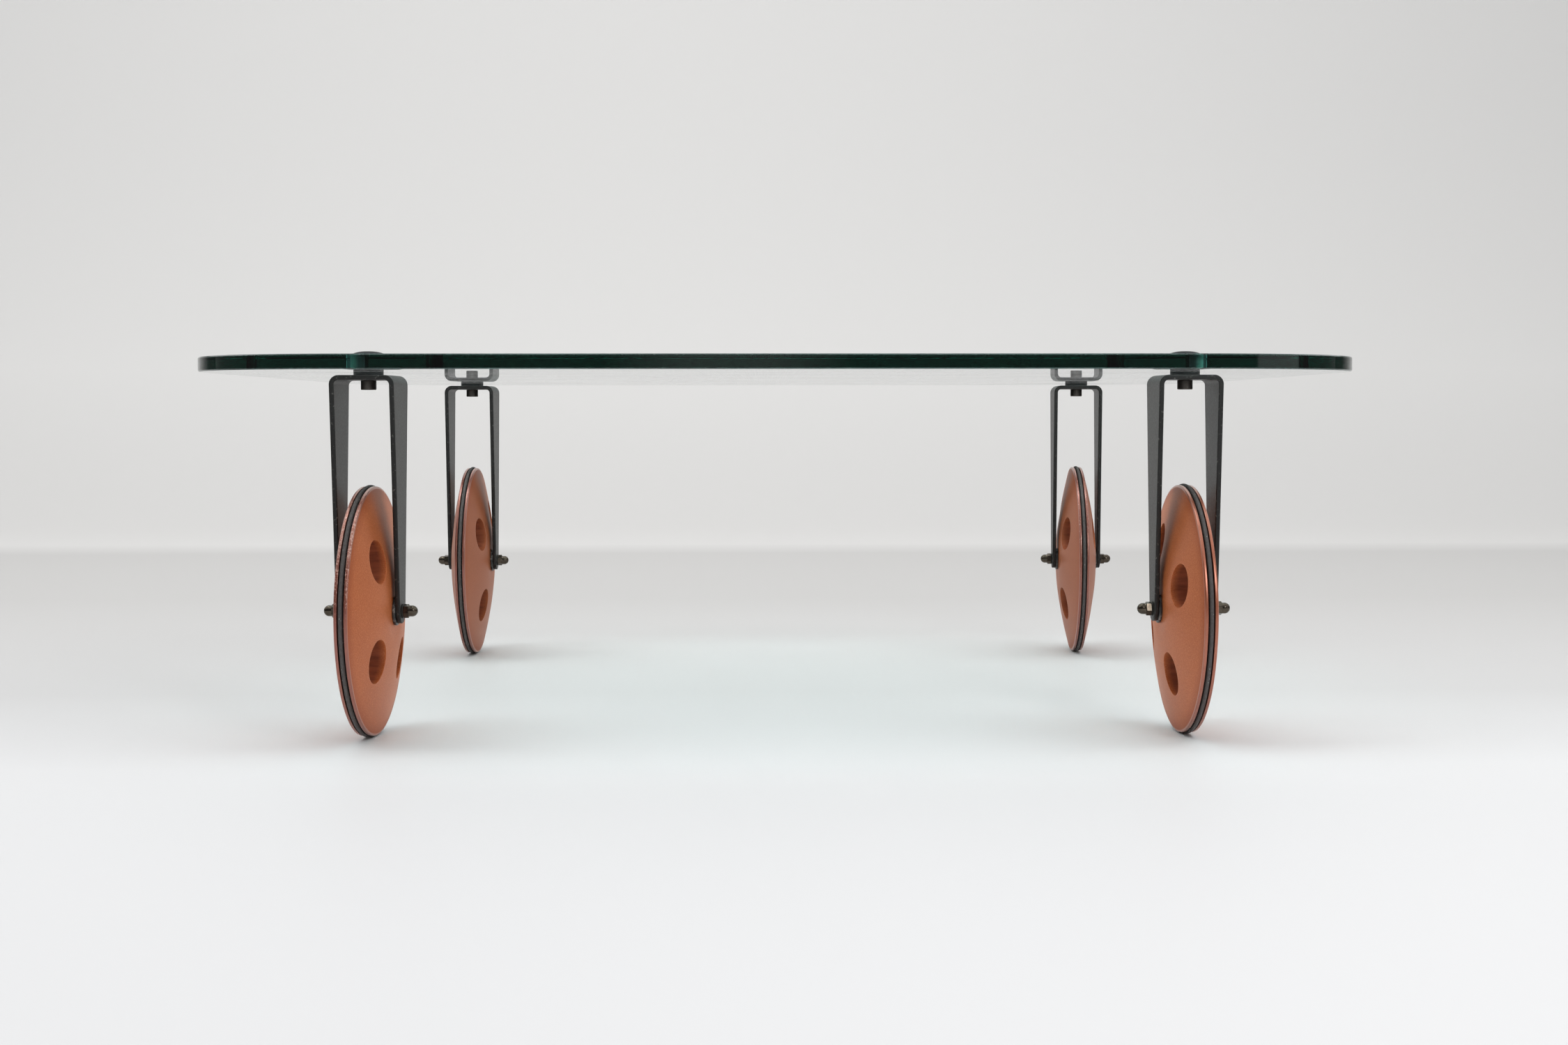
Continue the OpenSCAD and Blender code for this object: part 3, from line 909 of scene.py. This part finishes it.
def rubber_material(name, low, high, dusty):
    """Matt rubber with a faint grain; dusty, it has pale specks, and its tread is greyer than its sides:
    scuffs, together with painted light on the crown and painted shade down the sides.
    """
    s = Shader(name)
    grain = s.noise(600, 3)
    base = s.blend(s.spread(s.noise(45, 4, 0.65), 0.3, 0.7), low, high)
    if dusty:
        scuffed = s.spread(s.noise(420, 4, 0.7), 0.35, 0.7)
        tread = s.blend(scuffed, (0.068, 0.058, 0.056), (0.115, 0.101, 0.098))
        # Lighter crown: scuffs with painted light, while the sides stay in painted shade
        base = s.blend(s.mark("wear"), base, tread)
        base = s.blend(s.specks(260, 0.13), base, (0.42, 0.4, 0.38))
    s.set(base_color=base)
    s.rough(grain, 0.62, 0.8)
    s.bump(grain, 0.3, 0.1 * MM)
    return s.material


def bush_material():
    """Pale plastic; its colour is painted light and shade: a green glow of the glass on its side towards the
    table's nearer edge, and painted shade on its inner side.
    """
    s = Shader("bush_plastic")
    x = s.parts(s.coords)[0]
    # Painted light: pale green towards the table's nearer edge, with painted shade further in
    painted_light_share = s.spread(s.math("ABSOLUTE", x), *BUSH_PAINTED_LIGHT_X)
    grain = s.noise(500, 3)
    pale = s.blend(grain, (0.46, 0.87, 0.71), (0.52, 0.91, 0.77))
    s.set(base_color=s.blend(painted_light_share, (0.02, 0.03, 0.028), pale))
    s.rough(grain, 0.4, 0.55)
    s.bump(grain, 0.1, 0.05 * MM)
    return s.material


def plastic_material():
    """Black plastic with a fine grain, scuffed pale on its rounded edges."""
    s = Shader("hub_plastic")
    grain = s.noise(800, 2)
    scuff = s.times(s.mark("wear"), s.spread(s.noise(190, 4, 0.7), 0.5, 0.66, 0.0, 0.8))
    black = s.blend(s.noise(90, 3), (0.016, 0.016, 0.017), (0.03, 0.03, 0.031))
    s.set(base_color=s.blend(scuff, black, (0.3, 0.28, 0.26)))
    s.rough(grain, 0.34, 0.46)
    s.bump(grain, 0.12, 0.05 * MM)
    return s.material


def lacquer_tone(s, flakes, radius):
    """Cloudy copper with fine flakes, darker towards the rim, with a browner painted shade on the rear
    wheels.
    """
    tone = s.blend(s.spread(s.noise(11, 4, 0.55), 0.3, 0.7), (0.47, 0.115, 0.032), (0.55, 0.145, 0.043))
    tone = s.blend(s.spread(flakes, 0.5, 0.72, 0.0, 0.55), tone, (0.7, 0.26, 0.11))
    tone = s.blend(s.spread(flakes, 0.5, 0.3, 0.0, 0.35), tone, (0.33, 0.062, 0.016))
    # Painted shade: the rear wheels' copper is darker and browner
    rear = s.math("GREATER_THAN", s.mark("seed"), LAST_FRONT_SEED + 0.5)
    tone = s.blend(s.times(rear, 0.65), tone, (0.27, 0.078, 0.034))
    return s.blend(s.spread(radius, *RIM_BAND_R, 0.0, 0.6), tone, (0.34, 0.062, 0.014))


def lacquer_chips(s):
    """1 where the lacquer has chipped off: more and larger chips where the mark is stronger."""
    chipped = s.mark("chips")
    limit = s.spread(chipped, 0.0, 1.0, 0.68, 0.485)
    chips = s.math("MULTIPLY", s.math("SUBTRACT", s.noise(420, 4, 0.75), limit), 16.0, clamp=True)
    return s.times(chips, s.spread(chipped, 0.0, 0.02))


def bare_wood(s):
    """Dark stained wood with its grain."""
    grain = s.noise(260, 4, 0.6, (0.12, 1, 1))
    return s.blend(s.spread(grain, 0.3, 0.7), (0.16, 0.034, 0.014), (0.3, 0.075, 0.032))


def lacquer_material():
    """Satin copper lacquer on wood, rubbed red-brown on the lips of the rim, which are polished and have pale
    chips, and thin in the holes, where the wood shows; painted shade darkens it down into the tyre's groove."""
    s = Shader("copper_lacquer")
    flakes = s.noise(760, 2, 0.7)
    y, z = s.parts(s.own)[1:]
    radius = s.math("SQRT", s.math("ADD", s.times(y, y), s.times(z, z)))
    tone = lacquer_tone(s, flakes, radius)
    rubbed = s.times(s.mark("wear"), s.spread(s.noise(60, 4, 0.65), 0.3, 0.7, 0.5, 0.95))
    tone = s.blend(rubbed, tone, (0.25, 0.056, 0.035))
    chips = lacquer_chips(s)
    tone = s.blend(chips, tone, (0.6, 0.37, 0.31))
    inside = s.spread(s.mark("bare"), 0.0, 0.35)
    tone = s.blend(inside, tone, bare_wood(s))
    # Painted shade in the tyre's groove, dark red-brown
    s.set(base_color=s.blend(s.mark("soot"), tone, (0.2, 0.068, 0.048)))
    matt = s.math("MAXIMUM", inside, chips)
    lip = s.times(s.spread(radius, *LIP_R), s.math("SUBTRACT", 1.0, matt))
    gloss = s.math("SUBTRACT", lip, matt)
    s.set(metallic=s.spread(gloss, -1.0, 1.0, 0.0, 0.6), roughness=s.spread(gloss, -1.0, 1.0, 0.56, 0.32))
    s.set(specular_tint=(0.9, 0.62, 0.5, 1))
    s.set(coat_weight=s.spread(lip, 0.0, 1.0, 0.1, 1.0), coat_roughness=0.3, coat_ior=1.8)
    s.bump(s.math("SUBTRACT", s.times(flakes, 0.3), chips), 0.5, 0.12 * MM)
    return s.material


def studio_material():
    """Plain pale studio: the floor, with painted shade that darkens it under the table and slightly further
    with its depth, turns into the wall, painted darker at its foot and lighter up high to even out its
    lighting.

    Past the sides of the backdrop only the camera sees the pale wall, and the pieces see a dim room."""
    s = Shader("studio")
    x, y, z = s.parts(s.coords)
    base_z = 0.05
    # Painted shade: the floor darkens under the table and further with its depth
    floor = s.blend(s.spread(y, FLOOR_NEAR_Y, FLOOR_MIDDLE_Y), (0.785, 0.787, 0.796), (0.625, 0.62, 0.62))
    floor = s.blend(s.spread(y, FLOOR_MIDDLE_Y, FLOOR_FAR_Y), floor, (0.545, 0.54, 0.532))
    # Painted light and shade on the wall: darker at its foot, lighter up high
    wall = s.blend(s.spread(z, 0.0, 0.5), (0.675, 0.67, 0.661), (0.8, 0.795, 0.785))
    wall = s.blend(s.spread(z, 0.5, 2.0), wall, (0.9, 0.895, 0.885))
    pale = s.blend(s.spread(y, WALL_LINE_Y - 0.2, WALL_LINE_Y + 0.2), floor, wall)
    wide = s.math("ABSOLUTE", x)
    aside = s.times(s.spread(wide, BACKDROP_HALF, DIM_HALF), s.math("GREATER_THAN", z, base_z))
    seen = s.node("ShaderNodeLightPath").outputs["Is Camera Ray"]
    dim = s.times(aside, s.math("SUBTRACT", 1.0, seen))
    s.set(base_color=s.blend(dim, pale, (0.06, 0.06, 0.06)))
    s.set(roughness=0.55, specular_ior_level=0.3)
    return s.material


# Pieces

def show(name, mesh, material, place, body, node, slot, seed=0):
    """One visible piece; the seed shifts its material's noise, so that no two corners look alike, and gives
    the rear wheels their painted shade.
    """
    seeds = mesh.attributes.new("seed", "FLOAT", "POINT")
    seeds.data.foreach_set("value", [float(seed)] * len(mesh.vertices))
    mesh.materials.clear()
    mesh.materials.append(material)
    ob = add_object(name, mesh)
    ob.matrix_world = place
    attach(ob, body)
    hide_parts(node)
    return ob


def dress_node(node, material):
    """Gives a node that keeps its own shape its material."""
    mesh = frame["nodes"][node].data
    mesh.materials.clear()
    mesh.materials.append(material)


def dress_caster(caster, paint):
    """All the pieces of one corner."""
    corner = caster.name
    fixed = Matrix.Translation(caster.place.translation), "table"
    steered = caster.place, f"{corner}_caster"
    on_axle = caster.wheel_place, f"{corner}_caster"
    rolling = caster.wheel_place, f"{corner}_wheel"
    left_turn, right_turn = NUT_TURNS[corner]
    nuts = join("nuts", mirrored(nut_mesh(caster, left_turn)), nut_mesh(caster, right_turn))
    nut_washers = washers_mesh(caster, "nut_washers", AXLE_BORE_R, 0.3 * MM)
    hub_washers = washers_mesh(caster, "hub_washers", HUB_WASHER_BORE_R, 0.6 * MM)
    made = (
        ("cap", "dome", cap_mesh(caster), "cap_steel", fixed),
        ("collar", "disc", collar_mesh(caster), "collar_steel", fixed),
        ("swivel_screw", "screw", screw_mesh(caster), "screw_steel", fixed),
        ("fork", "strap", fork_mesh(caster), "fork_paint", steered),
        ("axle_nuts", "cap_nuts", nuts, "nut_metal", on_axle),
        ("nut_washers", "thin_washers", nut_washers, "washer_steel", on_axle),
        ("wheel_inner_half", "inner_dish", wheel_half_mesh(caster, False), "copper_lacquer", rolling),
        ("wheel_outer_half", "outer_dish", wheel_half_mesh(caster, True), "copper_lacquer", rolling),
        ("tyre", "band", tyre_mesh(caster), "tyre_rubber", rolling),
        ("hub_washers", "spacers", hub_washers, "hub_plastic", rolling),
    )
    for part, label, mesh, slot, (place, body) in made:
        show(f"{corner}_{label}", mesh, paint[slot], place, body, f"{corner}_{part}", slot,
             CORNERS.index(corner))
    for part, slot in (("glass_bush", "bush_plastic"), ("swivel_bush", "bronze"), ("axle", "axle_steel"),
                       ("hub_sleeve", "bronze")):
        dress_node(f"{corner}_{part}", paint[slot])


# Dark and light tone, roughness, share of metal, and how much it mirrors edge on where that isn't 1
DARK_METALS = {
    "cap_steel": ((0.018, 0.0205, 0.024), (0.033, 0.037, 0.043), 0.32, 0.8, 0.5),
    "collar_steel": ((0.03, 0.031, 0.032), (0.05, 0.05, 0.051), 0.45, 0.6),
    "screw_steel": ((0.06, 0.052, 0.046), (0.1, 0.088, 0.077), 0.42, 0.6),
    "nut_metal": ((0.07, 0.057, 0.044), (0.13, 0.108, 0.085), 0.19, 1.0),
    "washer_steel": ((0.04, 0.037, 0.034), (0.07, 0.065, 0.06), 0.42, 0.8),
}
# Dark and light tone, and roughness
TURNED_METALS = {
    "bronze": ((0.5, 0.33, 0.15), (0.66, 0.47, 0.25), 0.35),
    "axle_steel": ((0.45, 0.44, 0.43), (0.58, 0.57, 0.55), 0.3),
}
# Dark and light tone, and whether it is dusty
RUBBERS = {
    "black_rubber": ((0.012, 0.012, 0.012), (0.022, 0.022, 0.022), False),
    "tyre_rubber": ((0.025, 0.018, 0.016), (0.04, 0.03, 0.027), True),
}


def paints():
    """Every material by the name of its slot."""
    made = {
        "glass": glass_material(),
        "bush_plastic": bush_material(),
        "fork_paint": fork_material(),
        "copper_lacquer": lacquer_material(),
        "hub_plastic": plastic_material(),
    }
    for maker, kinds in ((dark_metal_material, DARK_METALS), (turned_metal_material, TURNED_METALS),
                         (rubber_material, RUBBERS)):
        for name, values in kinds.items():
            made[name] = maker(name, *values)
    return made


# Studio

def add_studio():
    """Floor that curves up into a wall behind the table."""
    reach, front, bend_y, bend_r, top = 13.0, -20.0, 3.7, 3.0, 3.6
    profile = [(front, 0.0)]
    profile += [(bend_y + bend_r * math.sin(a), bend_r - bend_r * math.cos(a)) for a in quarter(32)]
    profile.append((bend_y + bend_r, top))
    patches = Patchwork()
    patches.grid([[(x, y, z) for x in (-reach, reach)] for y, z in profile])
    mesh = patches.mesh("studio")
    mesh.materials.append(studio_material())
    ob = add_object("studio", mesh)


def add_lamp(name, place, target, size, power, in_mirrors):
    """Flat lamp; unless it is in mirrors, polished pieces don't show its bright face."""
    lamp = bpy.data.lights.new(name, "AREA")
    lamp.shape = "RECTANGLE"
    lamp.size, lamp.size_y = size
    lamp.energy = power
    ob = add_object(name, lamp)
    ob.location = place
    ob.rotation_mode = "QUATERNION"
    ob.rotation_quaternion = (Vector(target) - Vector(place)).to_track_quat("-Z", "Y")
    ob.visible_glossy = in_mirrors


def add_world():
    """A dim room with a bright ceiling, some pale panels and a paler far side; the camera sees a plain
    pale surround."""
    world = bpy.data.worlds.new("studio")
    bpy.context.scene.world = world
    world.use_nodes = True
    w = Nodes(world.node_tree)
    x, y, z = w.parts(w.node("ShaderNodeTexCoord").outputs["Generated"])
    turn = w.math("ARCTAN2", x, w.times(y, -1.0))
    level = ROOM_LEVEL
    for middle, half, soft, light in ROOM_PANELS:
        away = w.math("ABSOLUTE", w.math("SUBTRACT", turn, math.radians(middle)))
        inside = w.spread(away, math.radians(half), math.radians(half + soft), light, 0.0)
        level = w.math("ADD", level, inside)
    far_side = w.spread(w.math("ABSOLUTE", turn), *map(math.radians, FAR_SIDE_TURNS), 0.0, FAR_SIDE_LEVEL)
    level = w.math("ADD", level, far_side)
    height = w.math("ADD", z, w.times(y, CEILING_LEAN))
    up = w.spread(height, *CEILING_HEIGHTS)
    ceiling = w.spread(height, CEILING_HEIGHTS[1], 1.0, *CEILING_LEVELS)
    low = w.times(level, w.math("SUBTRACT", 1.0, up))
    tone = w.math("ADD", low, w.times(ceiling, up))
    seen = w.node("ShaderNodeLightPath").outputs["Is Camera Ray"]
    grey = w.node("ShaderNodeCombineColor", {"Red": tone, "Green": tone, "Blue": tone})
    shown = w.blend(seen, grey.outputs[0], SURROUND)
    w.feed(w.tree.nodes["Background"].inputs["Color"], shown)


def add_camera():
    """A camera that stands as the photograph's did."""
    data = bpy.data.cameras.new("camera")
    data.sensor_width = SENSOR_W
    data.lens = FOCAL_PX * SENSOR_W / PHOTO_W_PX
    data.shift_x = -(MIDDLE_X_PX - PHOTO_W_PX / 2) / PHOTO_W_PX
    ob = add_object("camera", data)
    ob.matrix_world = (Matrix.Translation(CAMERA_AT) @ Matrix.Rotation(-CAMERA_YAW, 4, "Z")
                       @ Matrix.Rotation(math.pi / 2 - CAMERA_PITCH, 4, "X")
                       @ Matrix.Rotation(CAMERA_ROLL, 4, "Z"))
    bpy.context.scene.camera = ob


add_camera()
paint = paints()
casters = [Caster(corner) for corner in CORNERS]
holes = [caster.place.translation.xy for caster in casters]
show("glass_sheet", glass_mesh(holes, GLASS_BORE_R), paint["glass"], Matrix.Identity(4), "table",
     "glass_top", "glass")
dress_node("collar_rubbers", paint["black_rubber"])
for caster in casters:
    dress_caster(caster, paint)
add_studio()
add_world()
for lamp in LAMPS:
    add_lamp(*lamp)
bpy.context.scene.view_settings.view_transform = "Standard"
